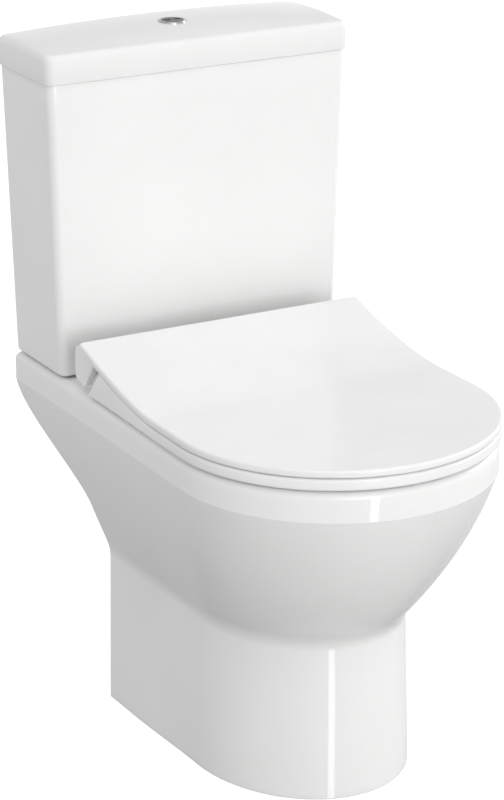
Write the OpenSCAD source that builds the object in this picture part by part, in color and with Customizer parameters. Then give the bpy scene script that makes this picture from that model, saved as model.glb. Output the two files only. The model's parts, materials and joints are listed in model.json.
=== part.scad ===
// Close coupled toilet: a ceramic pan that is open at the back, its cistern with a lift-off lid, a slim
// wrap-over seat and cover on hinge posts, a two-part flush button, and the working parts inside.
// X runs along the wall, the front faces -Y, Z is up. Z = 0 is the floor, and the origin lies midway
// between the wall side and the front edge.

/* [Pan] */
// Height of the rim above the floor
pan_h = 399; // [360:1:480]
// Length from the wall to the front edge
depth = 600; // [570:5:730]
// Width of the rim at its widest
pan_w = 360; // [330:2:440]
// Height of the plain band round the rim
band_h = 33; // [26:1:44]
// Width of the foot at the floor
foot_w = 252; // [220:1:300]
// Thickness of the ceramic
wall = 11; // [9:0.5:13]
// Height of the outlet's centre
outlet_z = 185; // [178:1:195]
// Outside diameter of the outlet spigot
spigot_d = 102; // [98:1:106]

/* [Cistern] */
// Width of the lid
lid_w = 380; // [350:5:450]
// Depth of the lid
lid_d = 132; // [125:1:160]
// Height of the cistern without its lid
cistern_h = 336; // [270:1:400]
// Height of the lid's upright edge
lid_skirt = 26; // [20:1:34]

/* [Seat] */
// Distance of the hinge axis from the wall
hinge_d = 175; // [170:1:185]
// Height of the hinge axis above the rim
hinge_h = 31; // [28:1:34]
// Thickness of the ring at the front
ring_t = 12.8; // [10:0.1:14]
// Thickness of the cover's edge
cover_t = 8; // [7:0.5:10]
// Spacing of the two hinge posts
post_span = 155; // [135:5:170]

/* [Flush] */
// Diameter of the two-part button
button_d = 25.4; // [22:0.2:30]
// How far a button half travels
button_travel = 8; // [6:0.5:9]

/* [Hidden] */
back_y = depth / 2;
band_z = pan_h - band_h;
join_z = 0.4625 * pan_h;
slab = 14;
edge_r = 9;
draft = 5.5;
foot_end = depth - 108;
foot_straight = depth - 260;
pan_straight = depth - 180;
nose = depth - 1;
foot_back = 128;
// how much closer to the middle each side of the foot is at its front
foot_narrow = 4;
platform_w = lid_w - 23;
platform_d = hinge_d;
body_w = lid_w - 5;
body_base_w = lid_w - 24;
// bowl
open_w = pan_w / 2 - 43;
open_back = hinge_d + 87;
open_end = depth - 36;
sump_z = outlet_z - 115;
sump_back = hinge_d + 175;
sump_end = depth - 175;
bowl_top = pan_h - 5;
// cistern and lid
tank_z = pan_h + 3;
rim_z = tank_z + cistern_h;
lid_z = rim_z + 0.3;
shoulder_z = rim_z + lid_skirt;
lid_edge_z = rim_z + 32;
crown = 6;
tank_floor = tank_z + 12;
valve_d = 62;
lid_top = lid_edge_z + 3 + 0.75 * crown;
// seat
hinge_z = pan_h + hinge_h;
hinge_y = back_y - hinge_d;
ring_z = pan_h + 2.7;
ring_top = ring_z + ring_t;
ring_recess = ring_top - 9;
seat_w = pan_w / 2 + 2.5;
seat_back_w = platform_w / 2 - 0.1;
cover_low = ring_top + 1;
cover_top = cover_low + cover_t;
cover_recess = cover_top - 4.5;
rise_start = hinge_d + 175;
cheek_t = 8;
pin_r = 5;
knuckle_r = 9;
barrel_r = 10;
run_fit = 0.05;
post_x = post_span / 2;
// fixings
bolt_r = 4;
hole_r = 6.5;
coupling_x = 75;
inlet_x = 118;
inlet_r = 10.5;
shank_r = inlet_r - 0.4;
// the supply pipe has a clear way down behind the pan from this height
pipe_way_z = join_z + 80;
screw_x = foot_w / 2 - wall - 14;
screw_d = 205;
// flush valve and button
button_gap = 0.1;
sleeve_r = button_d / 2 + 1.8;
lever_z = rim_z - 42;
lever_arm = 13;
hook_arm = 17;
half_play = 10.5;
pivot_x = 20;
pivot_r = 1.5;
tube_r = 16;
// fill valve
column_top = lever_z - 30;
float_arm = 46;
float_pin = 2;
float_droop = 25;
float_z = column_top - 110;

white = "white";
chrome = "silver";
rubber = "dimgray";
plastic = "gainsboro";

// ---------- helpers ----------

function clamp(v) = min(1, max(0, v));
function mix(a, b, t) = a + (b - a) * t;
function smooth(t) = t * t * (3 - 2 * t);

// Depth position of a point at distance d from the wall
function from_wall(d) = back_y - d;

// Plan outline of the pan and the seat, anticlockwise from above: a straight back edge with elliptical
// corners, straight sides, sides that widen, and a half ellipse at the front
back_n = 4;
corner_n = 5;
straight_n = 2;
widen_n = 5;
front_n = 28;
function outline(wb, wm, db, dp, ds, df, rx, ry) =
    let (right = [for (i = [0 : straight_n - 1]) [wb, mix(db + ry, dp, i / straight_n)]],
        widening = [for (i = [0 : widen_n - 1]) [mix(wb, wm, smooth(i / widen_n)),
            mix(dp, ds, i / widen_n)]],
        corner = [for (i = [1 : corner_n]) [wb - rx + rx * cos(90 * i / corner_n),
            db + ry - ry * sin(90 * i / corner_n)]],
        side = concat(right, widening))
    concat(
        [for (i = [1 : back_n - 1]) [(wb - rx) * (1 - 2 * i / back_n), from_wall(db)]],
        [for (i = [corner_n : -1 : 1]) [-corner[i - 1][0], from_wall(corner[i - 1][1])]],
        [for (p = side) [-p[0], from_wall(p[1])]],
        [for (i = [0 : front_n]) [-wm * cos(180 * i / front_n),
            from_wall(ds + (df - ds) * sin(180 * i / front_n))]],
        [for (i = [len(side) - 1 : -1 : 0]) [side[i][0], from_wall(side[i][1])]],
        [for (p = corner) [p[0], from_wall(p[1])]]);

// Rounded rectangle with half sizes a and b round the depth position y, anticlockwise from above
arc_n = 5;
long_n = 6;
short_n = 3;
function rounded(a, b, r, y = 0) =
    let (sx = [1, -1, -1, 1], sy = [1, 1, -1, -1],
        arcs = [for (k = [0 : 3]) [for (i = [0 : arc_n]) let (t = 90 * (k + i / arc_n))
            [sx[k] * (a - r) + r * cos(t), y + sy[k] * (b - r) + r * sin(t)]]])
    [for (k = [0 : 3]) let (n = k % 2 == 0 ? long_n : short_n, p = arcs[k][arc_n],
        q = arcs[(k + 1) % 4][0])
        each concat(arcs[k], [for (i = [1 : n - 1]) mix(p, q, i / n)])];

// Puts a plan outline at height z, and shrinks one towards a centre
function at(points, z) = [for (p = points) [p[0], p[1], z]];
function shrink(points, c, f) = [for (p = points) mix(c, p, f)];

// Two triangles between neighbouring points of two rings of n points
function quad(i, k, j, n) = let (a = i * n + j, b = i * n + (j + 1) % n, c = k * n + (j + 1) % n,
    d = k * n + j) [[a, b, c], [a, c, d]];

// Closed skin over rings of points, with a pole at each end; it starts on a side that looks up
module skin(rings, first, last) {
    n = len(rings[0]);
    m = len(rings);
    polyhedron(
        points = concat([for (r = rings) each r], [first, last]),
        faces = concat(
            [for (j = [0 : n - 1]) [n * m, (j + 1) % n, j]],
            [for (i = [0 : m - 2], j = [0 : n - 1]) each quad(i, i + 1, j, n)],
            [for (j = [0 : n - 1]) [(m - 1) * n + j, (m - 1) * n + (j + 1) % n, n * m + 1]]));
}

// Closed skin over rings that run back into the first one
module skin_loop(rings) {
    n = len(rings[0]);
    m = len(rings);
    polyhedron(
        points = [for (r = rings) each r],
        faces = [for (i = [0 : m - 1], j = [0 : n - 1]) each quad(i, (i + 1) % m, j, n)]);
}

module mirror_pair() {
    children();
    mirror([1, 0, 0]) children();
}

// Upright cylinder or tube between two heights
module post(x, d, z0, z1, r, bore = 0) {
    translate([x, from_wall(d), z0]) difference() {
        cylinder(r = r, h = z1 - z0, $fn = 48);
        if (bore > 0) translate([0, 0, -1]) cylinder(r = bore, h = z1 - z0 + 2, $fn = 48);
    }
}

// Rod along X through the hinge axis
module across(x0, x1, r, y = hinge_y, z = hinge_z) {
    translate([x0, y, z]) rotate([0, 90, 0]) cylinder(r = r, h = x1 - x0, $fn = 48);
}

module hexagon_nut(x, d, z0, z1, across_flats, bore) {
    translate([x, from_wall(d), z0]) difference() {
        cylinder(r = across_flats / 2 / cos(30), h = z1 - z0, $fn = 6);
        translate([0, 0, -1]) cylinder(r = bore, h = z1 - z0 + 2, $fn = 48);
    }
}

// Wing nut hanging under a face at height z1
module wing_nut(x, d, z1) {
    difference() {
        union() {
            post(x, d, z1 - 12, z1, 8);
            translate([x - 17, from_wall(d) - 2, z1 - 19]) cube([9.5, 4, 15]);
            translate([x + 7.5, from_wall(d) - 2, z1 - 19]) cube([9.5, 4, 15]);
        }
        post(x, d, z1 - 20, z1 + 1, bolt_r + run_fit);
    }
}

// ---------- pan ----------

// How far the body has swelled at height z, from 0 at the top of the pedestal to 1 at the band
function swell(z) = let (u = 1 - clamp((z - join_z) / (band_z - join_z))) 1 - 0.53 * u - 0.47 * u * u;

// How far the back of the body has come forward under the platform
function tuck(z) = smooth(clamp((band_z - z) / (0.34 * band_z)));

// Outline of the pan at height z, moved in by t
function pan_level(z, t) =
    let (s = swell(z), taper = draft * min(z, join_z) / join_z,
        half = foot_w / 2 - taper,
        db = mix(1, foot_back - taper, tuck(z)))
    outline(mix(half, platform_w / 2, pow(s, 1.06)) - t, mix(half - foot_narrow, pan_w / 2, s) - t,
        db + t,
        mix(db + 60, platform_d, s), mix(foot_straight, pan_straight, s),
        mix(foot_end - taper, nose, s) - t, 6, 6);

// Outline of the bowl's inner face, t = 0 at the bottom and 1 at the rim, moved out by o
function bowl_level(t, o) =
    let (w = open_w * (0.16 + 0.84 * sin(90 * pow(t, 0.9))) + o,
        db = open_back + (sump_back - open_back) * pow(1 - clamp((t - 0.2) / 0.8), 1.4) - o,
        df = mix(sump_end, open_end, smooth(clamp((t - 0.1) / 0.85))) + o,
        ds = mix(mix(sump_back, sump_end, 0.5), pan_straight - 10, t),
        ry = min(110, 0.75 * (ds - db)))
    outline(w, w, db, db + ry + 0.3 * (ds - db - ry), ds, df, 0.85 * w, ry);

bowl_steps = [0, 0.08, 0.17, 0.27, 0.38, 0.5, 0.63, 0.76, 0.88, 0.97];
body_steps = [1, 0.93, 0.84, 0.74, 0.63, 0.52, 0.41, 0.3, 0.2, 0.11, 0.04, 0];
function bowl_z(t) = mix(sump_z, bowl_top, t);
function body_z(t) = mix(join_z, band_z, t);

module pan_shell() {
    open = bowl_level(1, 0);
    open_out = bowl_level(1, 5);
    hollow_top = pan_h - slab;
    rings = concat(
        [for (t = bowl_steps) at(bowl_level(t, 0), bowl_z(t))],
        [at(open, bowl_top), at(mix(open, open_out, 0.3), pan_h - 1.5), at(open_out, pan_h)],
        [for (a = [90, 60, 30, 0]) at(pan_level(pan_h, edge_r * (1 - cos(a))),
            pan_h - edge_r * (1 - sin(a)))],
        [for (t = body_steps) at(pan_level(body_z(t), 0), body_z(t))],
        [at(pan_level(0, 0), 0), at(pan_level(0, wall), 0)],
        [for (i = [len(body_steps) - 1 : -1 : 0]) let (z = body_z(body_steps[i]))
            at(pan_level(z, wall), z)],
        [at(pan_level(pan_h, wall), hollow_top), at(bowl_level(0.97, wall), hollow_top)],
        [for (i = [len(bowl_steps) - 2 : -1 : 0]) let (t = bowl_steps[i])
            at(bowl_level(t, wall), bowl_z(t) - mix(wall, 0, clamp(t / 0.4)))]);
    middle = from_wall((sump_back + sump_end) / 2);
    skin(rings, [0, middle, sump_z - 3], [0, middle, sump_z - 3 - wall]);
}

// Trapway: out of the sump, up over the weir and down to the spigot, as straight legs and bends
trap_r = 35;
leg_up = 62;
leg_down = 30;
bend_r = 62;
weir_r = 52;
weir_z = outlet_z + 42;
trap_z = sump_z + trap_r - 1;
trap_d = hinge_d + 170;
up_len = (weir_z - weir_r * (1 - cos(leg_up)) - trap_z - bend_r * (1 - cos(leg_up))) / sin(leg_up);
down_len = (weir_z - weir_r * (1 - cos(leg_down)) - outlet_z - bend_r * (1 - cos(leg_down)))
    / sin(leg_down);
spigot_end = 65;

// The trapway's middle line, as [distance from its start, height, direction]: points along one bend, and
// the point at the end of a straight leg
tube_n = 20;
bend_n = 5;
function bend(p, big, angle, up) = [for (i = [1 : bend_n]) let (a = p[2] + up * angle * i / bend_n)
    [p[0] + up * big * (sin(a) - sin(p[2])), p[1] - up * big * (cos(a) - cos(p[2])), a]];
function leg(p, l) = [p[0] + l * cos(p[2]), p[1] + l * sin(p[2]), p[2]];
function last(v) = v[len(v) - 1];
function trap_line(before, after) =
    let (rise = bend([0, 0, 0], bend_r, leg_up, 1),
        weir = bend(leg(last(rise), up_len), weir_r, leg_up + leg_down, -1),
        out = bend(leg(last(weir), down_len), bend_r, leg_down, 1))
    concat([[-before, 0, 0], [0, 0, 0]], rise, weir, out, [leg(last(out), after)]);

// The trapway swept with radius r, from before its first bend to after its last
module trapway(r, before, after) {
    line = trap_line(before, after);
    y = from_wall(trap_d);
    rings = [for (p = line) [for (i = [0 : tube_n - 1]) let (t = 360 * i / tube_n)
        [r * cos(t), y + p[0] - r * sin(t) * sin(p[2]), trap_z + p[1] + r * sin(t) * cos(p[2])]]];
    skin(rings, [0, y + line[0][0], trap_z], [0, y + last(line)[0], trap_z + last(line)[1]]);
}

// Flush way: a chamber under the cistern's outlet and a duct to the back of the bowl
chamber_z = pan_h - 44;
module flush_way_outside() {
    post(0, valve_d, chamber_z - 8, pan_h - slab + 4, 56);
    translate([-38, from_wall(open_back + 4), chamber_z - 8])
        cube([76, open_back + 4 - valve_d, 42]);
}
module flush_way_inside() {
    post(0, valve_d, pan_h - 16, pan_h + 1, 46.5);
    post(0, valve_d, chamber_z, pan_h - 15, 34);
    translate([-30, from_wall(open_back + 12), chamber_z + 2])
        cube([60, open_back + 12 - valve_d, 20]);
}

module pan() {
    color(white) difference() {
        union() {
            difference() {
                pan_shell();
                translate([-foot_w / 2 + 30, from_wall(foot_back + wall + 6), -1])
                    cube([foot_w - 60, foot_back + wall + 20, band_z - 12]);
            }
            trapway(trap_r + 9, 9, 12);
            translate([0, from_wall(spigot_end + 52), outlet_z]) rotate([-90, 0, 0])
                cylinder(r = spigot_d / 2, h = 52, $fn = 96);
            flush_way_outside();
            mirror_pair() translate([screw_x - 14, from_wall(screw_d + 20), 0]) cube([29, 40, 14]);
        }
        trapway(trap_r, 50, 20);
        translate([0, from_wall(spigot_end + 44), outlet_z]) rotate([-90, 0, 0])
            cylinder(r = 42, h = 46, $fn = 96);
        flush_way_inside();
        mirror_pair() {
            post(screw_x, screw_d, -1, 15, 5);
            post(post_x, hinge_d, pan_h - slab - 1, pan_h + 1, hole_r);
            post(coupling_x, valve_d, pan_h - slab - 1, pan_h + 1, hole_r);
            post(inlet_x, valve_d, pipe_way_z, pan_h + 1, 20);
        }
    }
}

// ---------- cistern ----------

// Outline of the cistern at height z, moved in by t
function tank_level(z, t) =
    let (f = (z - tank_z) / (rim_z - tank_z), front = mix(lid_d - 5, lid_d - 2, f), back = mix(5, 1, f))
    rounded(mix(body_base_w, body_w, f) / 2 - t, (front - back) / 2 - t, max(3, 10 - t),
        from_wall((front + back) / 2));

module cistern() {
    mid = from_wall(lid_d / 2);
    inner = wall;
    color(white) difference() {
        skin(concat(
            [at(tank_level(tank_floor, inner + 8), tank_floor), at(tank_level(tank_floor, inner + 2),
                tank_floor + 2), at(tank_level(tank_floor, inner), tank_floor + 8)],
            [at(tank_level(rim_z, inner), rim_z - 1.5), at(tank_level(rim_z, inner - 1.5), rim_z)],
            [at(tank_level(rim_z, 1), rim_z), at(tank_level(rim_z, 0), rim_z - 1)],
            [for (a = [0, 30, 60, 90]) at(tank_level(tank_z, 4 * (1 - cos(a))),
                tank_z + 4 * (1 - sin(a)))]),
            [0, mid, tank_floor], [0, mid, tank_z]);
        post(0, valve_d, tank_z - 1, tank_floor + 1, 32);
        post(inlet_x, valve_d, tank_z - 1, tank_floor + 1, inlet_r + 1);
        mirror_pair() post(coupling_x, valve_d, tank_z - 1, tank_floor + 1, hole_r);
    }
}

// Height of the lid's top at a point: level at the front edge, arched along the back
function lid_height(p) =
    let (u = p[0] / (lid_w / 2), v = (p[1] - from_wall(lid_d / 2)) / (lid_d / 2))
    lid_edge_z + 3 * (1 - v * v) + crown * (1 - u * u) * (1 - pow((1 - v) / 2, 2));

function lid_outline(t) = rounded(lid_w / 2 - t, lid_d / 2 - t, max(3, 11 - t),
    from_wall(lid_d / 2));

module cistern_lid() {
    centre = [0, from_wall(valve_d)];
    top_edge = lid_outline(7);
    color(white) difference() {
        skin(concat(
            [for (f = [0.25, 0.5, 0.75, 0.92]) [for (p = shrink(top_edge, centre, f))
                [p[0], p[1], lid_height(p)]]],
            [for (a = [90, 65, 40, 20, 0]) [for (p = lid_outline(7 * (1 - cos(a))))
                [p[0], p[1], mix(shoulder_z, lid_height(p), sin(a))]]],
            [at(lid_outline(0), lid_z + 1), at(lid_outline(1), lid_z)],
            [at(lid_outline(wall + 4), lid_z), at(lid_outline(wall + 5), lid_z - 8)],
            [at(lid_outline(wall + 10), lid_z - 8), at(lid_outline(wall + 12), lid_z + 20)]),
            [0, centre[1], lid_top], [0, centre[1], lid_z + 20]);
        post(0, valve_d, lid_z + 10, lid_top + 5, sleeve_r + 0.6);
        post(0, valve_d, lid_top - 0.5, lid_top + 5, sleeve_r + 1.8);
    }
}

// ---------- seat ----------

// Height that the seat gains towards the hinge at depth position y
function ridge(y) = 21 * pow(max(0, (rise_start - (back_y - y)) / 130), 1.6);

// Seat outlines: outer edge with its back at distance db, moved in by t, and the ring's opening
function seat_outer(db, t) = outline(seat_back_w - t, seat_w - t, db, db + 12, pan_straight,
    depth - t, 4, 4);
ring_open = outline(pan_w / 2 - 71, pan_w / 2 - 71, hinge_d + 104, hinge_d + 195, depth - 170,
    depth - 44, 95, 85);

// A ring of points over the seat, from an outline, at height z above the seat's own slope
function on_slope(points, z) = [for (p = points) [p[0], p[1], z + ridge(p[1])]];

module ring_arm(x) {
    translate([x, 0, 0]) rotate([90, 0, 90]) linear_extrude(height = 10) union() {
        translate([hinge_y, hinge_z]) circle(r = knuckle_r, $fn = 48);
        polygon([[hinge_y, hinge_z + knuckle_r], [hinge_y, hinge_z - 5],
            [hinge_y - 36, ring_z + 8], [hinge_y - 44, ring_z + 22], [hinge_y - 38, hinge_z + 3]]);
    }
}

module seat_ring() {
    back_top = hinge_d + 42;
    back_low = hinge_d + 18;
    upper = seat_outer(back_top, 0);
    lower = seat_outer(back_low, 0);
    under = seat_outer(back_top + 10, 9);
    inner = mix(under, ring_open, 0.88);
    color(white) difference() {
        union() {
            skin_loop([
                at(ring_open, ring_z + 2),
                on_slope(ring_open, ring_top - 6),
                on_slope(mix(upper, ring_open, 0.96), ring_top - 2.6),
                on_slope(mix(upper, ring_open, 0.82), ring_top - 0.9),
                on_slope(mix(upper, ring_open, 0.5), ring_top),
                on_slope(seat_outer(back_top + 4, 4), ring_top - 0.2),
                on_slope(seat_outer(back_top + 1, 1.2), ring_top - 1.2),
                on_slope(upper, ring_top - 3.5),
                at(lower, ring_z + 2.5),
                at(seat_outer(back_low + 1, 1.5), ring_z),
                at(seat_outer(back_low + 7, 7), ring_z),
                on_slope(under, ring_recess),
                on_slope(inner, ring_recess),
                at(mix(under, ring_open, 0.91), ring_z),
                at(mix(under, ring_open, 0.98), ring_z)]);
            mirror_pair() ring_arm(59);
        }
        mirror_pair() across(50, 80, pin_r + run_fit);
    }
}

// Side cheek of the cover, which closes the end of the hinge
module cheek() {
    translate([seat_back_w - cheek_t, 0, 0]) rotate([90, 0, 90]) linear_extrude(height = cheek_t)
        hull() {
            translate([hinge_y - 9.5, hinge_z - 13.5]) circle(r = 5.5, $fn = 32);
            translate([hinge_y + 3.5, hinge_z - 9.5]) circle(r = 7.5, $fn = 32);
            translate([hinge_y + 1, hinge_z + 14]) circle(r = 10, $fn = 40);
            translate([hinge_y - 32, hinge_z + 12.5]) circle(r = 3, $fn = 32);
        }
}

module cover_arm(x) {
    top = cover_top + ridge(hinge_y - 12) - 1.5;
    translate([x, 0, 0]) rotate([90, 0, 90]) linear_extrude(height = 10) union() {
        translate([hinge_y, hinge_z]) circle(r = knuckle_r, $fn = 48);
        translate([hinge_y - 12, hinge_z]) square([14, top - hinge_z]);
    }
}

module seat_cover() {
    back = hinge_d - 2;
    edge = seat_outer(back + 2, 2.5);
    centre = [0, from_wall(depth - 190)];
    lip = seat_outer(back + 6, 6);
    color(white) difference() {
        union() {
            skin(concat(
                [for (f = [0.2, 0.4, 0.6, 0.75, 0.88]) on_slope(shrink(edge, centre, f), cover_top)],
                [on_slope(edge, cover_top), on_slope(seat_outer(back + 0.6, 0.7), cover_top - 0.8),
                    on_slope(seat_outer(back, 0), cover_top - 2.5), on_slope(seat_outer(back, 0),
                    cover_low + 1.5), on_slope(seat_outer(back + 1, 1.2), cover_low)],
                [on_slope(lip, cover_low), on_slope(seat_outer(back + 7, 8), cover_recess)],
                [for (f = [0.7, 0.35]) on_slope(shrink(seat_outer(back + 7, 8), centre, f),
                    cover_recess)]),
                [centre[0], centre[1], cover_top], [centre[0], centre[1], cover_recess]);
            mirror_pair() cheek();
            mirror_pair() cover_arm(48);
        }
        mirror_pair() across(40, 59, pin_r + run_fit);
    }
}

module ring_bumpers() {
    color(rubber) mirror_pair() {
        post(150, depth - 230, pan_h + 0.3, ring_recess, 8);
        post(100, depth - 62, pan_h + 0.3, ring_recess, 8);
    }
}

module cover_bumpers() {
    color(rubber) mirror_pair() {
        post(150, depth - 210, ring_top + 0.3, cover_recess, 5);
        post(80, depth - 50, ring_top + 0.3, cover_recess, 5);
    }
}

module hinge_post() {
    y = hinge_y;
    difference() {
        union() {
            post(post_x, hinge_d, pan_h, pan_h + 4, 14);
            translate([post_x - 6, 0, 0]) rotate([90, 0, 90]) linear_extrude(height = 20)
                polygon([[y - 8, pan_h + 4], [y + 8, pan_h + 4], [y + 6, hinge_z - 7],
                    [y + 6, hinge_z], [y - 6, hinge_z], [y - 6, hinge_z - 7]]);
            across(post_x - 7.5, post_x + 17.5, barrel_r);
        }
        across(post_x - 10, post_x + 20, pin_r + 0.02);
        post(post_x, hinge_d, pan_h - 1, pan_h + 16, bolt_r + run_fit);
    }
}
module hinge_post_left() { color(chrome) mirror([1, 0, 0]) hinge_post(); }
module hinge_post_right() { color(chrome) hinge_post(); }

module hinge_pin() {
    across(46, post_x + 18, pin_r);
    across(post_x + 18, post_x + 21, pin_r + 2);
}
module hinge_pin_left() { color(chrome) mirror([1, 0, 0]) hinge_pin(); }
module hinge_pin_right() { color(chrome) hinge_pin(); }

module seat_bolts() {
    color(chrome) mirror_pair() post(post_x, hinge_d, pan_h - 52, pan_h + 15, bolt_r);
}

module seat_washers() {
    color(rubber) mirror_pair() post(post_x, hinge_d, pan_h - slab - 3, pan_h - slab, 14,
        bolt_r + run_fit);
}

module seat_wing_nuts() {
    color(plastic) mirror_pair() wing_nut(post_x, hinge_d, pan_h - slab - 3);
}

// ---------- cistern to pan ----------

module doughnut_gasket() {
    color(rubber) difference() {
        post(0, valve_d, pan_h - 16, tank_z, 45.5, 30.5);
        post(0, valve_d, tank_z - 13, tank_z + 1, 41);
    }
}

module coupling_bolts() {
    color(chrome) mirror_pair() {
        post(coupling_x, valve_d, pan_h - 60, tank_floor + 5.5, bolt_r);
        post(coupling_x, valve_d, tank_floor + 4, tank_floor + 9, 8);
    }
}

module coupling_rubber_washers() {
    color(rubber) mirror_pair() post(coupling_x, valve_d, tank_floor, tank_floor + 4, 12,
        bolt_r + run_fit);
}

module coupling_metal_washers() {
    color(chrome) mirror_pair() post(coupling_x, valve_d, pan_h - slab - 2, pan_h - slab, 12,
        bolt_r + run_fit);
}

module coupling_wing_nuts() {
    color(chrome) mirror_pair() wing_nut(coupling_x, valve_d, pan_h - slab - 2);
}

// ---------- flush valve ----------

seat_top = tank_floor + 9;
tower_top = lever_z - 14;

module flush_valve_base() {
    color(plastic) {
        difference() {
            union() {
                post(0, valve_d, pan_h - 14, tank_floor + 3, 30);
                post(0, valve_d, tank_floor + 3, tank_floor + 6, 40);
                post(0, valve_d, tank_floor + 6, seat_top, 28);
            }
            post(0, valve_d, pan_h - 20, seat_top + 1, 24);
        }
        for (a = [45 : 90 : 315]) translate([0, from_wall(valve_d), tank_floor + 6])
            rotate([0, 0, a]) translate([34, -4, 0]) cube([5, 8, 44]);
    }
}

module flush_base_washer() {
    color(rubber) post(0, valve_d, tank_floor, tank_floor + 3, 37, 30.2);
}

module flush_lock_nut() {
    color(plastic) post(0, valve_d, tank_z - 12, tank_z, 40.5, 30.05);
}

// Cage that stands on the base's legs and carries the levers above the tube
module flush_valve_tower() {
    z0 = tank_floor + 50;
    y = from_wall(valve_d);
    color(plastic) {
        difference() {
            union() {
                post(0, valve_d, z0, z0 + 90, 40, 36);
                post(0, valve_d, z0, z0 + 6, 40, tube_r + 1.5);
            }
            translate([-60, y - 9, z0 + 20]) cube([120, 18, 55]);
            translate([-9, y - 60, z0 + 20]) cube([18, 120, 55]);
        }
        for (s = [-1, 1]) translate([-6, y + s * 38 - 2, z0 + 88])
            cube([12, 4, tower_top - z0 - 86]);
        difference() {
            translate([-28, y - 40, tower_top]) cube([56, 80, 4]);
            translate([-12, y - 10, tower_top - 1]) cube([24, 20, 6]);
        }
        mirror_pair() {
            for (t = [-1, 1]) translate([pivot_x - 3.5, y + t * 14 - 2, tower_top + 3])
                cube([7, 4, 17]);
            translate([pivot_x, y - 15, lever_z]) rotate([-90, 0, 0])
                cylinder(r = pivot_r - run_fit, h = 30, $fn = 32);
        }
    }
}

// Tube that is the overflow and lifts the seal, with a yoke that the levers raise. The claw over the half
// flush lever stands higher, so the full flush takes the tube up first
module overflow_tube() {
    y = from_wall(valve_d);
    foot_z = seat_top + 4.3;
    hook_x = pivot_x + hook_arm;
    color(plastic) {
        difference() {
            union() {
                post(0, valve_d, foot_z, tower_top - 22, tube_r);
                post(0, valve_d, foot_z, foot_z + 4, 27);
                post(0, valve_d, tower_top - 34, tower_top - 28, tube_r + 4);
                translate([-hook_x - 2, y - 4, tower_top - 34]) cube([2 * hook_x + 4, 8, 6]);
            }
            post(0, valve_d, foot_z - 1, tower_top, tube_r - 2.5);
        }
        for (s = [-1, 1]) let (claw_z = lever_z + 2.5 + (s > 0 ? half_play : 0)) {
            translate([s * (hook_x + 3.5) - 1.5, y - 4, tower_top - 34])
                cube([3, 8, claw_z + 3 - tower_top + 34]);
            translate([s * (hook_x - 1) - 6, y - 4, claw_z]) cube([12, 8, 3]);
        }
    }
}

module flush_seal() {
    color(rubber) post(0, valve_d, seat_top + 0.3, seat_top + 4.3, 28.5, 20);
}

// Rocker whose inner end the rod presses and whose outer end lifts the yoke
module flush_lever() {
    y = from_wall(valve_d);
    difference() {
        union() {
            translate([pivot_x - lever_arm - 4, y - 3, lever_z - 2])
                cube([lever_arm + hook_arm + 5, 6, 4]);
            translate([pivot_x, y - 11.5, lever_z]) rotate([-90, 0, 0])
                cylinder(r = 3.5, h = 23, $fn = 32);
        }
        translate([pivot_x, y - 20, lever_z]) rotate([-90, 0, 0])
            cylinder(r = pivot_r, h = 40, $fn = 32);
    }
}
module full_flush_lever() { color(plastic) mirror([1, 0, 0]) flush_lever(); }
module half_flush_lever() { color(plastic) flush_lever(); }

// ---------- button ----------

button_top = lid_top + 1.6;
sleeve_low = lid_z + 2;

module button_bezel() {
    color(chrome) translate([0, from_wall(valve_d), 0]) rotate_extrude($fn = 96) polygon([
        [button_d / 2 + button_gap, sleeve_low], [sleeve_r, sleeve_low], [sleeve_r, lid_top - 0.5],
        [sleeve_r + 1.3, lid_top - 0.5], [sleeve_r + 1.3, lid_top + 0.4],
        [sleeve_r + 0.6, lid_top + 1.4], [button_d / 2 + button_gap, lid_top + 1.4]]);
}

module button_lock_nut() {
    color(plastic) post(0, valve_d, lid_z + 10, lid_z + 20, sleeve_r + 8, sleeve_r + 0.02);
}

// One half of the button: a half-round body whose top is dished for the finger
dish_r = 5.2;
dish_deep = 0.8;
module button_half(side) {
    y = from_wall(valve_d);
    ball_r = (dish_r * dish_r / dish_deep + dish_deep) / 2;
    difference() {
        intersection() {
            translate([0, y, sleeve_low + 12]) rotate_extrude($fn = 96) polygon([[0, 0],
                [button_d / 2, 0], [button_d / 2, button_top - sleeve_low - 13],
                [button_d / 2 - 1, button_top - sleeve_low - 12],
                [0, button_top - sleeve_low - 12]]);
            translate([side > 0 ? 0.25 : -30.25, y - 30, sleeve_low]) cube([30, 60, 60]);
        }
        translate([side * (dish_r + 0.9), y, button_top - dish_deep + ball_r])
            sphere(r = ball_r, $fn = 96);
    }
}
module full_flush_button() { color(chrome) button_half(-1); }
module half_flush_button() { color(chrome) button_half(1); }

rod_x = pivot_x - lever_arm;
module push_rod(x) {
    post(x, valve_d, lever_z + 8, sleeve_low + 12, 3);
    post(x, valve_d, lever_z + 2.5, lever_z + 8, 1.5);
}
module full_push_rod() { color(plastic) push_rod(-rod_x); }
module half_push_rod() { color(plastic) push_rod(rod_x); }

// ---------- fill valve ----------

module fill_valve_body() {
    y = from_wall(valve_d);
    color(plastic) {
        difference() {
            union() {
                post(inlet_x, valve_d, pan_h - 45, tank_z - 11, inlet_r);
                post(inlet_x, valve_d, tank_z - 11, tank_floor + 3, shank_r);
                post(inlet_x, valve_d, tank_floor + 3, tank_floor + 7, 18);
                post(inlet_x, valve_d, tank_floor + 7, column_top, 11);
                post(inlet_x, valve_d, column_top, column_top + 20, 16);
            }
            post(inlet_x, valve_d, pan_h - 46, column_top + 10, 6);
        }
        for (s = [-1, 1]) translate([inlet_x - 5, y + s * 7 - 1.5, column_top + 19])
            cube([10, 3, 19]);
        translate([inlet_x, y, column_top + 33]) rotate([90, 0, 0])
            cylinder(r = float_pin - run_fit, h = 15, center = true, $fn = 32);
    }
}

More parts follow.
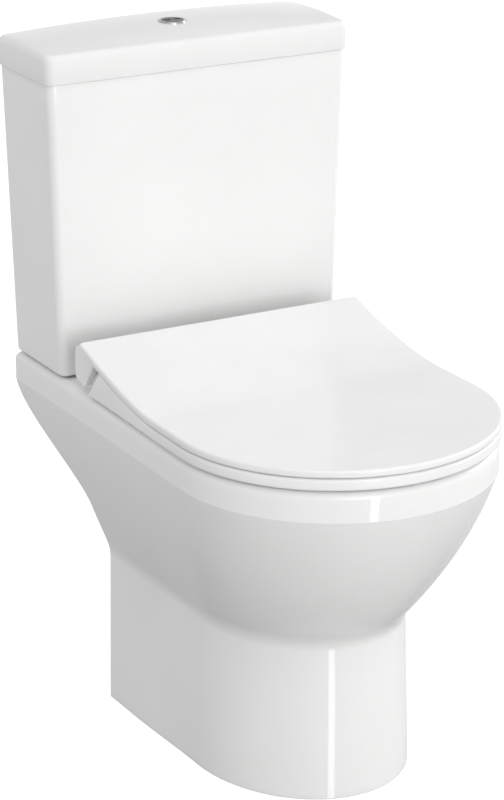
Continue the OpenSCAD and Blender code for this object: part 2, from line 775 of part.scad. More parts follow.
module fill_valve_washer() {
    color(rubber) post(inlet_x, valve_d, tank_floor, tank_floor + 3, 17, shank_r + 0.05);
}

module fill_valve_lock_nut() {
    color(plastic) hexagon_nut(inlet_x, valve_d, tank_z - 9, tank_z, 32, shank_r + 0.03);
}

// Lever on top of the fill valve; its forked end rides on the float's link
module fill_valve_lever() {
    y = from_wall(valve_d);
    z = column_top + 33;
    color(plastic) translate([inlet_x, y, z]) rotate([0, -float_droop, 0]) difference() {
        union() {
            rotate([90, 0, 0]) cylinder(r = 4.5, h = 10.5, center = true, $fn = 32);
            translate([-float_arm - 9, -4.5, -2]) cube([float_arm + 9, 9, 4]);
        }
        rotate([90, 0, 0]) cylinder(r = float_pin, h = 30, center = true, $fn = 32);
        translate([-float_arm - 6, -2.5, -5]) cube([14, 5, 10]);
    }
}

link_x = inlet_x - float_arm + 2;
module float() {
    y = from_wall(valve_d);
    color(rubber) difference() {
        union() {
            post(inlet_x, valve_d, float_z, float_z + 45, 24);
            translate([link_x - 5, y - 5, float_z + 39]) cube([inlet_x - link_x, 10, 6]);
        }
        post(inlet_x, valve_d, float_z - 1, float_z + 46, 11.6);
        post(inlet_x, valve_d, float_z - 1, float_z + 38, 21, 0);
    }
}

module float_link() {
    fork_z = column_top + 33 - (inlet_x - link_x) * tan(float_droop);
    color(plastic) {
        post(link_x, valve_d, float_z + 45, fork_z + 10, 1.8);
        post(link_x, valve_d, fork_z - 8, fork_z - 5.5, 4);
        post(link_x, valve_d, fork_z + 5.5, fork_z + 8, 4);
    }
}

// ---------- floor fixings ----------

module floor_screw_sleeves() {
    color(plastic) mirror_pair() {
        post(screw_x, screw_d, 4, 14, 4.95, 3.05);
        post(screw_x, screw_d, 14, 17, 9, 3.05);
    }
}

pan();
cistern();
cistern_lid();
seat_ring();
seat_cover();
ring_bumpers();
cover_bumpers();
hinge_post_left();
hinge_post_right();
hinge_pin_left();
hinge_pin_right();
seat_bolts();
seat_washers();
seat_wing_nuts();
doughnut_gasket();
coupling_bolts();
coupling_rubber_washers();
coupling_metal_washers();
coupling_wing_nuts();
flush_valve_base();
flush_base_washer();
flush_lock_nut();
flush_valve_tower();
overflow_tube();
flush_seal();
full_flush_lever();
half_flush_lever();
full_push_rod();
half_push_rod();
button_bezel();
button_lock_nut();
full_flush_button();
half_flush_button();
fill_valve_body();
fill_valve_washer();
fill_valve_lock_nut();
fill_valve_lever();
float();
float_link();
floor_screw_sleeves();
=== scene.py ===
# Looks, lights and camera for the close coupled toilet. The sizes and the shape functions are in
# millimetres, and the floor, the lights and the camera are in metres. The object stands on z = 0
# and faces -Y. d is a distance from the wall, which is at y = BACK.
import bpy
import bmesh
import json
import math
import numpy as np
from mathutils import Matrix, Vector
from mathutils.geometry import convex_hull_2d

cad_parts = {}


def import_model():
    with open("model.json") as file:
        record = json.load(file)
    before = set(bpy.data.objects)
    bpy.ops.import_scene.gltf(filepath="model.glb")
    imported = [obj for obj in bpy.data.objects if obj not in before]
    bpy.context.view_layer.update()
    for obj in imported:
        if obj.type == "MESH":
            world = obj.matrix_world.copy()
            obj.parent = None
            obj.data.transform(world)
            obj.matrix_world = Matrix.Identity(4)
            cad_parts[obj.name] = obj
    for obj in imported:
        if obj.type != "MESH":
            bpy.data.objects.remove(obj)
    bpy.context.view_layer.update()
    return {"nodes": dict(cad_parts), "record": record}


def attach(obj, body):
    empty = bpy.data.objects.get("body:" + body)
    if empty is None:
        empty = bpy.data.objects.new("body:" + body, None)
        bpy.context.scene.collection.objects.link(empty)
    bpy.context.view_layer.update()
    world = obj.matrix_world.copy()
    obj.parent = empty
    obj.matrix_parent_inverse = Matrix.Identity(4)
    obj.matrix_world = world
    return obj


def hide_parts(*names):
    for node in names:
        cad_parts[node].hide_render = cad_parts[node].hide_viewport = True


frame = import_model()
nodes = frame["nodes"]
MM = 0.001

# ---------- sizes, as in the part ----------
# pan
PAN_H, DEPTH, PAN_W, BAND_H, FOOT_W, WALL = 399.0, 600.0, 360.0, 33.0, 252.0, 11.0
OUTLET_Z, SPIGOT_D = 185.0, 102.0
BACK = DEPTH / 2
BAND_Z = PAN_H - BAND_H
JOIN_Z = 0.4625 * PAN_H         # where the bowl meets the pedestal
SLAB, EDGE_R, DRAFT, FOOT_NARROW = 14.0, 9.0, 5.5, 4.0
FOOT_END, FOOT_STRAIGHT, FOOT_BACK = DEPTH - 108, DEPTH - 260, 128.0
PAN_STRAIGHT, NOSE = DEPTH - 180, DEPTH - 1
LID_W, LID_D, CISTERN_H, LID_SKIRT = 380.0, 132.0, 336.0, 26.0
HINGE_D, HINGE_H, RING_T, COVER_T = 175.0, 31.0, 12.8, 8.0
PLATFORM_W, PLATFORM_D = LID_W - 23, HINGE_D
OPEN_W, OPEN_BACK, OPEN_END = PAN_W / 2 - 43, HINGE_D + 87, DEPTH - 36
SUMP_Z, SUMP_BACK, SUMP_END, BOWL_TOP = OUTLET_Z - 115, HINGE_D + 175, DEPTH - 175, PAN_H - 5
# cistern, lid and button
BODY_W, BODY_BASE_W = LID_W - 5, LID_W - 24
TANK_Z = PAN_H + 3
TANK_FLOOR, VALVE_D = TANK_Z + 12, 62.0
RIM_Z = TANK_Z + CISTERN_H
LID_Z, SHOULDER_Z, LID_EDGE_Z, CROWN = RIM_Z + 0.3, RIM_Z + LID_SKIRT, RIM_Z + 32, 6.0
LID_TOP = LID_EDGE_Z + 3 + 0.75 * CROWN
BUTTON_D = 25.4
SLEEVE_R = BUTTON_D / 2 + 1.8
# seat
HINGE_Z, HINGE_Y = PAN_H + HINGE_H, BACK - HINGE_D
RING_Z = PAN_H + 2.7
RING_TOP = RING_Z + RING_T
RING_RECESS = RING_TOP - 9
SEAT_W, SEAT_BACK_W = PAN_W / 2 + 2.5, PLATFORM_W / 2 - 0.1
COVER_LOW = RING_TOP + 1
COVER_TOP = COVER_LOW + COVER_T
COVER_RECESS = COVER_TOP - 4.5
RISE_START, CHEEK_T, KNUCKLE_R = HINGE_D + 175, 8.0, 9.0


# ---------- shape functions ----------
def clamp(v):
    return min(1.0, max(0.0, v))


def mix(a, b, t):
    return a + (b - a) * t


def smooth(t):
    return t * t * (3 - 2 * t)


def steps(a, b, n):
    """n + 1 even values from a to b."""
    return [mix(a, b, i / n) for i in range(n + 1)]


def arc(n, start=0.0, end=90.0):
    """n + 1 even angles in radians, between angles in degrees."""
    return [math.radians(a) for a in steps(start, end, n)]


BACK_N, CORNER_N, STRAIGHT_N, WIDEN_N, FRONT_N = 10, 8, 8, 24, 96      # facets of an outline


def outline(wb, wm, db, dp, ds, df, rx, ry):
    """Plan outline of the pan and seat, anticlockwise from above. It starts at db from the wall,
    with half width wb and corners of rx by ry, widens from dp to half width wm at ds, and curves
    round to df."""
    side = [(wb, mix(db + ry, dp, i / STRAIGHT_N)) for i in range(STRAIGHT_N)]
    side += [(mix(wb, wm, smooth(i / WIDEN_N)), mix(dp, ds, i / WIDEN_N))
             for i in range(WIDEN_N)]
    corner = [(wb - rx + rx * math.cos(a), db + ry - ry * math.sin(a))
              for a in arc(CORNER_N)[1:]]
    points = [((wb - rx) * (1 - 2 * i / BACK_N), db) for i in range(1, BACK_N)]
    points += [(-x, d) for x, d in reversed(corner)]
    points += [(-x, d) for x, d in side]
    points += [(-wm * math.cos(a), ds + (df - ds) * math.sin(a))
               for a in [math.pi * i / FRONT_N for i in range(FRONT_N + 1)]]
    points += list(reversed(side)) + corner
    plan = np.array(points)
    plan[:, 1] = BACK - plan[:, 1]
    return plan


ARC_N, LONG_N, SHORT_N = 10, 24, 10     # facets of a rounded rectangle


def rounded(a, b, r, y):
    """Rounded rectangle with half sizes a along X and b along Y, round (0, y)."""
    arcs = []
    for k, (sx, sy) in enumerate(((1, 1), (-1, 1), (-1, -1), (1, -1))):
        arcs.append([(sx * (a - r) + r * math.cos(t), y + sy * (b - r) + r * math.sin(t))
                     for t in arc(ARC_N, 90 * k, 90 * k + 90)])
    p = []
    for k in range(4):
        n = LONG_N if k % 2 == 0 else SHORT_N
        q = arcs[(k + 1) % 4][0]
        last = arcs[k][-1]
        p += arcs[k] + [(mix(last[0], q[0], i / n), mix(last[1], q[1], i / n))
                        for i in range(1, n)]
    return np.array(p)


def at(points, z):
    """Plan points at height z, or at the height that the function z gives for each."""
    h = [z(x, y) for x, y in points] if callable(z) else [z] * len(points)
    return np.column_stack([points, h])


def shrink(points, centre, f):
    """The points moved towards the centre, to f times their distance from it."""
    return np.array(centre) + (points - np.array(centre)) * f


def rounding(a, r):
    """How far in and how far down the point at angle a of a quarter round of radius r is."""
    return r * (1 - math.sin(a)), r * (1 - math.cos(a))


def mesh_object(name, verts, faces):
    """Mesh object from points in millimetres, with its faces turned outwards."""
    mesh = bpy.data.meshes.new(name)
    mesh.from_pydata([tuple(c * MM for c in v) for v in verts], [], faces)
    bm = bmesh.new()
    bm.from_mesh(mesh)
    bmesh.ops.recalc_face_normals(bm, faces=bm.faces)
    bm.to_mesh(mesh)
    bm.free()
    obj = bpy.data.objects.new(name, mesh)
    bpy.context.scene.collection.objects.link(obj)
    return obj


def skin(name, rings, first=None, last=None):
    """Closed skin over rings: with a pole at each end, or running back into the first ring."""
    n, m = len(rings[0]), len(rings)
    verts = [tuple(p) for r in rings for p in r]
    closed = first is None
    faces = [(i * n + j, i * n + (j + 1) % n, (i + 1) % m * n + (j + 1) % n, (i + 1) % m * n + j)
             for i in range(m if closed else m - 1) for j in range(n)]
    if not closed:
        verts += [first, last]
        faces += [(n * m, (j + 1) % n, j) for j in range(n)]
        faces += [((m - 1) * n + j, (m - 1) * n + (j + 1) % n, n * m + 1) for j in range(n)]
    return mesh_object(name, verts, faces)


def prism(name, points, x0, x1):
    """Solid between x0 and x1 over an outline in the YZ plane."""
    n = len(points)
    verts = [(x0, y, z) for y, z in points] + [(x1, y, z) for y, z in points]
    faces = [(i, (i + 1) % n, n + (i + 1) % n, n + i) for i in range(n)]
    return mesh_object(name, verts, faces + [tuple(range(n)), tuple(range(n, 2 * n))])


def block(name, lo, hi):
    """Box between two opposite corners."""
    (x0, y0, z0), (x1, y1, z1) = lo, hi
    return prism(name, [(y0, z0), (y1, z0), (y1, z1), (y0, z1)], x0, x1)


def rod(name, centre, axis, r, length, n=96):
    """Cylinder from centre along axis (1 for Y, 2 for Z)."""
    x, y, z = centre
    turn = [2 * math.pi * i / n for i in range(n)]

    def ring(s):
        if axis == 2:
            return np.array([(x + r * math.cos(t), y + r * math.sin(t), z + s) for t in turn])
        return np.array([(x + r * math.cos(t), y + s, z + r * math.sin(t)) for t in turn])
    a, b = ring(0), ring(length)
    return skin(name, [a, b], tuple(a.mean(0)), tuple(b.mean(0)))


def combine(obj, others, operation):
    """Joins to obj, or cuts from it, each of the other solids, which are then removed."""
    for other in others:
        m = obj.modifiers.new(operation.lower(), "BOOLEAN")
        m.operation = operation
        m.solver = "EXACT"
        m.object = other
        graph = bpy.context.evaluated_depsgraph_get()
        mesh = bpy.data.meshes.new_from_object(obj.evaluated_get(graph))
        obj.modifiers.clear()
        old = obj.data
        obj.data = mesh
        bpy.data.meshes.remove(old)
        gone = other.data
        bpy.data.objects.remove(other)
        bpy.data.meshes.remove(gone)
    return obj


def finish_mesh(obj, angle=32.0):
    """Smooth shading with sharp edges where faces meet at more than the angle."""
    for f in obj.data.polygons:
        f.use_smooth = True
    obj.data.set_sharp_from_angle(angle=math.radians(angle))


def sharpen(obj, z):
    """Keeps the edges that run level at height z crisp."""
    v = obj.data.vertices
    for e in obj.data.edges:
        if all(abs(v[i].co.z - z * MM) < 1e-6 for i in e.vertices):
            e.use_edge_sharp = True


# ---------- pan ----------
FLARE, FLARE_CURVE = 0.53, 0.47     # even and curved share of the bowl's flare
BACK_FLARE = 1.06                   # the back widens a little later than the rest
BACK_CURVE = 0.34 * BAND_Z          # height over which the back leaves the wall
SOFT, SOFT_N = 10, 10               # height and steps over which the joint is softened


def swell(z):
    """Share of the rim's size that the pan has at height z, 0 on the pedestal."""
    u = 1 - clamp((z - JOIN_Z) / (BAND_Z - JOIN_Z))
    return 1 - FLARE * u - FLARE_CURVE * u * u


def pan_plan(z, t):
    """Outline of the pan at height z, moved in by t."""
    s = swell(z)
    taper = DRAFT * min(z, JOIN_Z) / JOIN_Z
    half = FOOT_W / 2 - taper
    db = mix(1, FOOT_BACK - taper, smooth(clamp((BAND_Z - z) / BACK_CURVE)))
    return outline(mix(half, PLATFORM_W / 2, s ** BACK_FLARE) - t,
                   mix(half - FOOT_NARROW, PAN_W / 2, s) - t, db + t,
                   mix(db + 60, PLATFORM_D, s), mix(FOOT_STRAIGHT, PAN_STRAIGHT, s),
                   mix(FOOT_END - taper, NOSE, s) - t, 6, 6)


def pan_ring(z):
    """The pan's outer face at height z in space, with the joint over the pedestal softened."""
    if abs(z - JOIN_Z) > SOFT:
        return at(pan_plan(z, 0), z)
    near = [pan_plan(z + k * SOFT, 0) for k in steps(-1, 1, SOFT_N)]
    return at(sum(near) / len(near), z)


BOWL_NARROW, BOWL_ROUND, BOWL_SLOPE = 0.16, 0.9, 1.4   # width at the bottom, curve of side, back


def bowl_plan(t, o):
    """Outline of the bowl's inner face, t = 0 at the bottom and 1 at the rim, moved out by o."""
    w = OPEN_W * mix(BOWL_NARROW, 1, math.sin(math.pi / 2 * t ** BOWL_ROUND)) + o
    db = OPEN_BACK + (SUMP_BACK - OPEN_BACK) * (1 - clamp((t - 0.2) / 0.8)) ** BOWL_SLOPE - o
    df = mix(SUMP_END, OPEN_END, smooth(clamp((t - 0.1) / 0.85))) + o
    ds = mix(mix(SUMP_BACK, SUMP_END, 0.5), PAN_STRAIGHT - 10, t)
    ry = min(110, 0.75 * (ds - db))
    return outline(w, w, db, db + ry + 0.3 * (ds - db - ry), ds, df, 0.85 * w, ry)


# trapway: radius of the bore, angles of the legs in degrees, radii of the bends, and the places
# of the weir and the start
TRAP_R, LEG_UP, LEG_DOWN, BEND_R, WEIR_R = 35.0, 62.0, 30.0, 62.0, 52.0
WEIR_Z, TRAP_Z, TRAP_D = OUTLET_Z + 42, SUMP_Z + 34, HINGE_D + 170


def trapway(name, r, before, after, n=48, bend_n=14):
    """The trapway swept with radius r, from before its first bend to after its last."""
    def turn(angle):
        return 1 - math.cos(math.radians(angle))

    def reach(low, angle):
        """Length of the leg between the bend at height low and the weir."""
        rise = WEIR_Z - WEIR_R * turn(angle) - low - BEND_R * turn(angle)
        return rise / math.sin(math.radians(angle))

    line = [(-before, 0.0, 0.0), (0.0, 0.0, 0.0)]

    def bend(big, angle, way):
        y, z, a = line[-1]
        for i in range(1, bend_n + 1):
            b = a + way * math.radians(angle) * i / bend_n
            line.append((y + way * big * (math.sin(b) - math.sin(a)),
                         z - way * big * (math.cos(b) - math.cos(a)), b))

    def leg(length):
        y, z, a = line[-1]
        line.append((y + length * math.cos(a), z + length * math.sin(a), a))

    bend(BEND_R, LEG_UP, 1)
    leg(reach(TRAP_Z, LEG_UP))
    bend(WEIR_R, LEG_UP + LEG_DOWN, -1)
    leg(reach(OUTLET_Z, LEG_DOWN))
    bend(BEND_R, LEG_DOWN, 1)
    leg(after)
    y0 = BACK - TRAP_D
    rings = [np.array([(r * math.cos(t), y0 + y - r * math.sin(t) * math.sin(a),
                        TRAP_Z + z + r * math.sin(t) * math.cos(a))
                       for t in [2 * math.pi * i / n for i in range(n)]]) for y, z, a in line]
    return skin(name, rings, (0, y0 + line[0][0], TRAP_Z),
                (0, y0 + line[-1][0], TRAP_Z + line[-1][1]))


LIP_R, TRAP_WALL, SPIGOT_WALL = PAN_H - BOWL_TOP, 9, 9
CHAMBER_Z, CHAMBER_WALL, DUCT_W, DUCT_H = PAN_H - 44, 8, 60, 20        # flush chamber and duct
CHAMBER_R, CHAMBER_OUT_R, MOUTH_R = 34, 56, 46.5
SPIGOT_START, LUG_D, LUG_H, PIPE_X, PIPE_R = 117, 205, 14, 118, 20     # PIPE: way for the water


def build_pan():
    """One skin from the bowl over the rim to the foot and back up inside, with the trapway, the
    flush chamber and its duct, the floor lugs and the open back added or cut."""
    def bowl(t, o, drop=0.0):
        return at(bowl_plan(t, o), mix(SUMP_Z, BOWL_TOP, t) - drop)

    rim = bowl_plan(1, 0)
    rim_out = bowl_plan(1, LIP_R)
    heights = [BAND_Z + 12, BAND_Z] + steps(BAND_Z - 5, JOIN_Z + SOFT + 3, 44)
    heights += steps(JOIN_Z + SOFT, JOIN_Z - SOFT, 15) + [120, 60, 4, 1.5]
    rings = [bowl(t, 0) for t in steps(0, 0.97, 44)]
    rings += [at(mix(rim, rim_out, 1 - math.cos(a)), BOWL_TOP + LIP_R * math.sin(a))
              for a in arc(6)]
    rings += [at(mix(rim_out, pan_plan(PAN_H, EDGE_R), f), PAN_H) for f in (0.25, 0.5, 0.75)]
    rings += [at(pan_plan(PAN_H, inset), PAN_H - down)
              for inset, down in (rounding(a, EDGE_R) for a in arc(10))]
    rings += [pan_ring(z) for z in heights]
    rings += [at(pan_plan(0, 0.3), 0.3), at(pan_plan(0, 1.2), 0), at(pan_plan(0, WALL), 0)]
    rings += [at(pan_plan(z, WALL), z) for z in [60, 120] + steps(JOIN_Z, BAND_Z, 16)]
    rings += [at(plan, PAN_H - SLAB) for plan in (pan_plan(PAN_H, WALL), bowl_plan(0.97, WALL))]
    rings += [bowl(t, WALL, mix(WALL, 0, clamp(t / 0.4))) for t in steps(0.92, 0, 20)]
    middle = BACK - (SUMP_BACK + SUMP_END) / 2
    pan = skin("pan_glaze", rings, (0, middle, SUMP_Z - 3), (0, middle, SUMP_Z - 3 - WALL))
    half = FOOT_W / 2 - 30
    combine(pan, [block("rear_cut", (-half, BACK - FOOT_BACK - WALL - 6, -1),
                        (half, BACK + 20, BAND_Z - 13))], "DIFFERENCE")
    y_spigot, y_valve = BACK - SPIGOT_START, BACK - VALVE_D
    out_z, duct = CHAMBER_Z - CHAMBER_WALL, DUCT_W / 2
    combine(pan, [
        trapway("trap_out", TRAP_R + TRAP_WALL, 9, 12),
        rod("spigot_out", (0, y_spigot, OUTLET_Z), 1, SPIGOT_D / 2, 52),
        rod("chamber_out", (0, y_valve, out_z), 2, CHAMBER_OUT_R, 40),
        block("duct_out", (-duct - CHAMBER_WALL, BACK - OPEN_BACK - 4, out_z),
              (duct + CHAMBER_WALL, y_valve, CHAMBER_Z + 34))], "UNION")
    combine(pan, [
        trapway("trap_in", TRAP_R, 50, 20),
        rod("spigot_in", (0, y_spigot + 8, OUTLET_Z), 1, SPIGOT_D / 2 - SPIGOT_WALL, 46),
        rod("mouth", (0, y_valve, PAN_H - 16), 2, MOUTH_R, 18),
        rod("chamber_in", (0, y_valve, CHAMBER_Z), 2, CHAMBER_R, 30),
        block("duct_in", (-duct, BACK - OPEN_BACK - 12, CHAMBER_Z + 2),
              (duct, y_valve, CHAMBER_Z + 2 + DUCT_H))], "DIFFERENCE")
    screw_x, y_lug, pipe_z = FOOT_W / 2 - WALL - 14, BACK - LUG_D, JOIN_Z + 80
    for side in (-1, 1):
        x0, x1 = sorted((side * (screw_x - 14), side * (screw_x + 15)))
        combine(pan, [block("lug", (x0, y_lug - 20, 0), (x1, y_lug + 20, LUG_H))], "UNION")
        combine(pan, [
            rod("screw_hole", (side * screw_x, y_lug, -1), 2, 5, LUG_H + 3),
            rod("pipe_way", (side * PIPE_X, y_valve, pipe_z), 2, PIPE_R, PAN_H + 1 - pipe_z)],
            "DIFFERENCE")
    finish_mesh(pan)
    sharpen(pan, BAND_Z)
    return pan


# ---------- cistern ----------
TANK_R, TANK_COVE, TANK_FOOT_R = 10, 8, 4       # upright edges, inner floor edge, outer foot edge
VALVE_HOLE_R, TAIL_HOLE_R, BOLT_HOLE_R, BOLT_X = 32, 11.5, 6.5, 75


def tank_plan(z, t):
    """Outline of the cistern at height z, moved in by t."""
    f = (z - TANK_Z) / (RIM_Z - TANK_Z)
    front, back = mix(LID_D - 5, LID_D - 2, f), mix(5, 1, f)
    return rounded(mix(BODY_BASE_W, BODY_W, f) / 2 - t, (front - back) / 2 - t,
                   max(3, TANK_R - t), BACK - (front + back) / 2)


def build_cistern():
    """One skin from the middle of the inner floor up, over the rim and down the outside."""
    mid = BACK - LID_D / 2
    rings = [at(shrink(tank_plan(TANK_FLOOR, WALL + TANK_COVE), (0, mid), f), TANK_FLOOR)
             for f in (0.4, 0.8)]
    rings += [at(tank_plan(TANK_FLOOR, WALL + inset), TANK_FLOOR + up)
              for inset, up in (rounding(a, TANK_COVE) for a in arc(6))]
    rings += [at(tank_plan(z, WALL), z) for z in steps(TANK_FLOOR + 60, RIM_Z - 40, 4)]
    rings += [at(tank_plan(RIM_Z, t), RIM_Z - drop)
              for t, drop in ((WALL, 1.5), (WALL - 1.5, 0), (1, 0), (0.3, 0.3), (0, 1))]
    rings += [at(tank_plan(z, 0), z) for z in steps(RIM_Z - 30, TANK_Z + 30, 8)]
    rings += [at(tank_plan(TANK_Z, inset), TANK_Z + up)
              for up, inset in (rounding(a, TANK_FOOT_R) for a in arc(6))]
    tank = skin("cistern_glaze", rings, (0, mid, TANK_FLOOR), (0, mid, TANK_Z))
    y = BACK - VALVE_D
    holes = (("valve_hole", 0, VALVE_HOLE_R), ("tail_hole", PIPE_X, TAIL_HOLE_R),
             ("bolt_hole", -BOLT_X, BOLT_HOLE_R), ("bolt_hole", BOLT_X, BOLT_HOLE_R))
    combine(tank, [rod(name, (x, y, TANK_Z - 1), 2, r, TANK_FLOOR - TANK_Z + 2)
                   for name, x, r in holes], "DIFFERENCE")
    finish_mesh(tank)
    return tank


LID_TOP_R, LID_R, LIP_IN, LIP_H = 7, 11, WALL + 4, 8      # top edge, upright edges, inner lip


def lid_height(x, y):
    """Height of the crowned top, highest over the middle and towards the wall."""
    u, v = x / (LID_W / 2), (y - (BACK - LID_D / 2)) / (LID_D / 2)
    return LID_EDGE_Z + 3 * (1 - v * v) + CROWN * (1 - u * u) * (1 - ((1 - v) / 2) ** 2)


def lid_plan(t):
    """Outline of the lid, moved in by t."""
    return rounded(LID_W / 2 - t, LID_D / 2 - t, max(3, LID_R - t), BACK - LID_D / 2)


def build_lid():
    """One skin from the middle of the top, over the edge and the inner lip, to the underside."""
    centre = (0, BACK - VALVE_D)
    top = lid_plan(LID_TOP_R)
    rings = [at(shrink(top, centre, f), lid_height) for f in steps(0.08, 0.96, 22)]
    for a in arc(12, 90, 0):
        rings.append(at(lid_plan(LID_TOP_R * (1 - math.cos(a))),
                        lambda x, y, s=math.sin(a): mix(SHOULDER_Z, lid_height(x, y), s)))
    rings += [at(lid_plan(t), LID_Z + z)
              for t, z in ((0, 1.2), (0.3, 0.3), (1, 0), (LIP_IN, 0), (LIP_IN + 1, -LIP_H),
                           (LIP_IN + 6, -LIP_H), (LIP_IN + 8, 20))]
    lid = skin("lid_glaze", rings, (*centre, LID_TOP + 0.16), (*centre, LID_Z + 20))
    combine(lid, [rod("button_hole", (*centre, LID_Z + 10), 2, SLEEVE_R + 0.6, 40),
                  rod("bezel_seat", (*centre, LID_TOP - 0.5), 2, SLEEVE_R + 1.8, 6)], "DIFFERENCE")
    finish_mesh(lid)
    return lid


# ---------- seat ----------
RISE_H, RISE_RUN, RISE_CURVE = 21, 130, 1.6     # height and run of the rise, and how it curves


def ridge(y):
    """Height that the seat gains towards the hinge."""
    return RISE_H * max(0.0, (RISE_START - (BACK - y)) / RISE_RUN) ** RISE_CURVE


def seat_outer(db, t):
    """Outline of the ring and cover, with the back edge at db and the rest moved in by t."""
    return outline(SEAT_BACK_W - t, SEAT_W - t, db, db + 12, PAN_STRAIGHT, DEPTH - t, 4, 4)


def sloped(points, z):
    """Plan points at height z plus what the seat gains towards the hinge."""
    return at(points, lambda x, y: z + ridge(y))


RING_OPEN = outline(PAN_W / 2 - 71, PAN_W / 2 - 71, HINGE_D + 104, HINGE_D + 195, DEPTH - 170,
                    DEPTH - 44, 95, 85)
RING_EDGE_R, RING_DOME, RING_FOOT_R, RING_ARM_W, RING_ARMS = 4, 6, 1.5, 10, (-69, 59)


def build_ring():
    """One closed skin from the opening over the top, round the outer edge and back underneath,
    with an arm to the hinge at each side."""
    back_top, back_low = HINGE_D + 42, HINGE_D + 18
    upper = seat_outer(back_top, 0)
    under = seat_outer(back_top + 10, 9)
    rings = [at(RING_OPEN, RING_Z + 1)]
    rings += [sloped(mix(upper, RING_OPEN, 1 - 0.5 * (1 - math.cos(a))),
                     RING_TOP - RING_DOME * (1 - math.sin(a)) ** 1.3) for a in arc(14)]
    rings += [sloped(mix(upper, RING_OPEN, f), RING_TOP - 0.1 * (0.5 - f))
              for f in (0.4, 0.3, 0.2, 0.1)]
    for a in arc(8):
        inset = RING_EDGE_R * (1 - math.sin(a))
        rings.append(sloped(seat_outer(back_top + inset, inset),
                            RING_TOP - 0.2 - 3.3 * (1 - math.cos(a))))
    for a in arc(5):
        inset = RING_FOOT_R * (1 - math.cos(a))
        rings.append(at(seat_outer(back_low + inset, inset), RING_Z + 2.5 * (1 - math.sin(a))))
    rings += [at(seat_outer(back_low + 7, 7), RING_Z), sloped(under, RING_RECESS),
              sloped(mix(under, RING_OPEN, 0.88), RING_RECESS),
              at(mix(under, RING_OPEN, 0.91), RING_Z), at(mix(under, RING_OPEN, 0.98), RING_Z)]
    ring = skin("ring_shell", rings)
    y, z = HINGE_Y, HINGE_Z
    arm = [(y + KNUCKLE_R * math.cos(a), z + KNUCKLE_R * math.sin(a)) for a in arc(28, -60, 100)]
    arm += [(y - 38, z + 3), (y - 44, RING_Z + 22), (y - 36, RING_Z + 8)]
    for x in RING_ARMS:
        combine(ring, [prism("ring_arm", arm, x, x + RING_ARM_W)], "UNION")
    finish_mesh(ring)
    return ring


def hull(circles, n=40):
    """Outline round circles given as (y, z, radius)."""
    pts = [(y + r * math.cos(2 * math.pi * i / n), z + r * math.sin(2 * math.pi * i / n))
           for y, z, r in circles for i in range(n)]
    return [pts[i] for i in convex_hull_2d([Vector(p) for p in pts])]


COVER_EDGE_R, COVER_FOOT_R, COVER_ARM = 2.5, 1.5, (48, 58)


def build_cover():
    """One skin from the middle of the top round the edge to the middle of the recess below, with
    a cheek at each end of the hinge and an arm to each ring knuckle."""
    back = HINGE_D - 2
    centre = (0, BACK - (DEPTH - 190))
    edge = seat_outer(back + COVER_EDGE_R, COVER_EDGE_R)
    inner = seat_outer(back + 7, 8)
    rings = [sloped(shrink(edge, centre, f), COVER_TOP) for f in steps(0.04, 0.97, 31)]
    for a in arc(8):
        inset, down = rounding(a, COVER_EDGE_R)
        rings.append(sloped(seat_outer(back + inset, inset), COVER_TOP - down))
    for a in arc(5):
        up, inset = rounding(a, COVER_FOOT_R)
        rings.append(sloped(seat_outer(back + inset, inset), COVER_LOW + up))
    rings += [sloped(seat_outer(back + 6, 6), COVER_LOW), sloped(inner, COVER_RECESS)]
    rings += [sloped(shrink(inner, centre, f), COVER_RECESS) for f in steps(0.94, 0.06, 22)]
    cover = skin("cover_shell", rings, (*centre, COVER_TOP), (*centre, COVER_RECESS))
    y, z = HINGE_Y, HINGE_Z
    cheek = hull([(y - 9.5, z - 13.5, 5.5), (y + 3.5, z - 9.5, 7.5), (y + 1, z + 14, 10),
                  (y - 32, z + 12.5, 3)])
    top = COVER_TOP + ridge(y - 12) - 1.5
    arm = [(y + KNUCKLE_R * math.cos(a), z + KNUCKLE_R * math.sin(a)) for a in arc(30, -180, 0)]
    arm += [(y + 2, z + 9), (y + 2, top), (y - 12, top), (y - 12, z)]
    for side in (-1, 1):
        cheek_x = sorted((side * SEAT_BACK_W, side * (SEAT_BACK_W - CHEEK_T)))
        arm_x = sorted(side * x for x in COVER_ARM)
        combine(cover, [prism("cheek", cheek, *cheek_x), prism("cover_arm", arm, *arm_x)], "UNION")
    finish_mesh(cover)
    return cover


# ---------- materials ----------
DRIFT_FROM, DRIFT_TO = 0.3, 0.7     # part of the noise that the drift uses
RELIEF_DEPTH = 0.0005


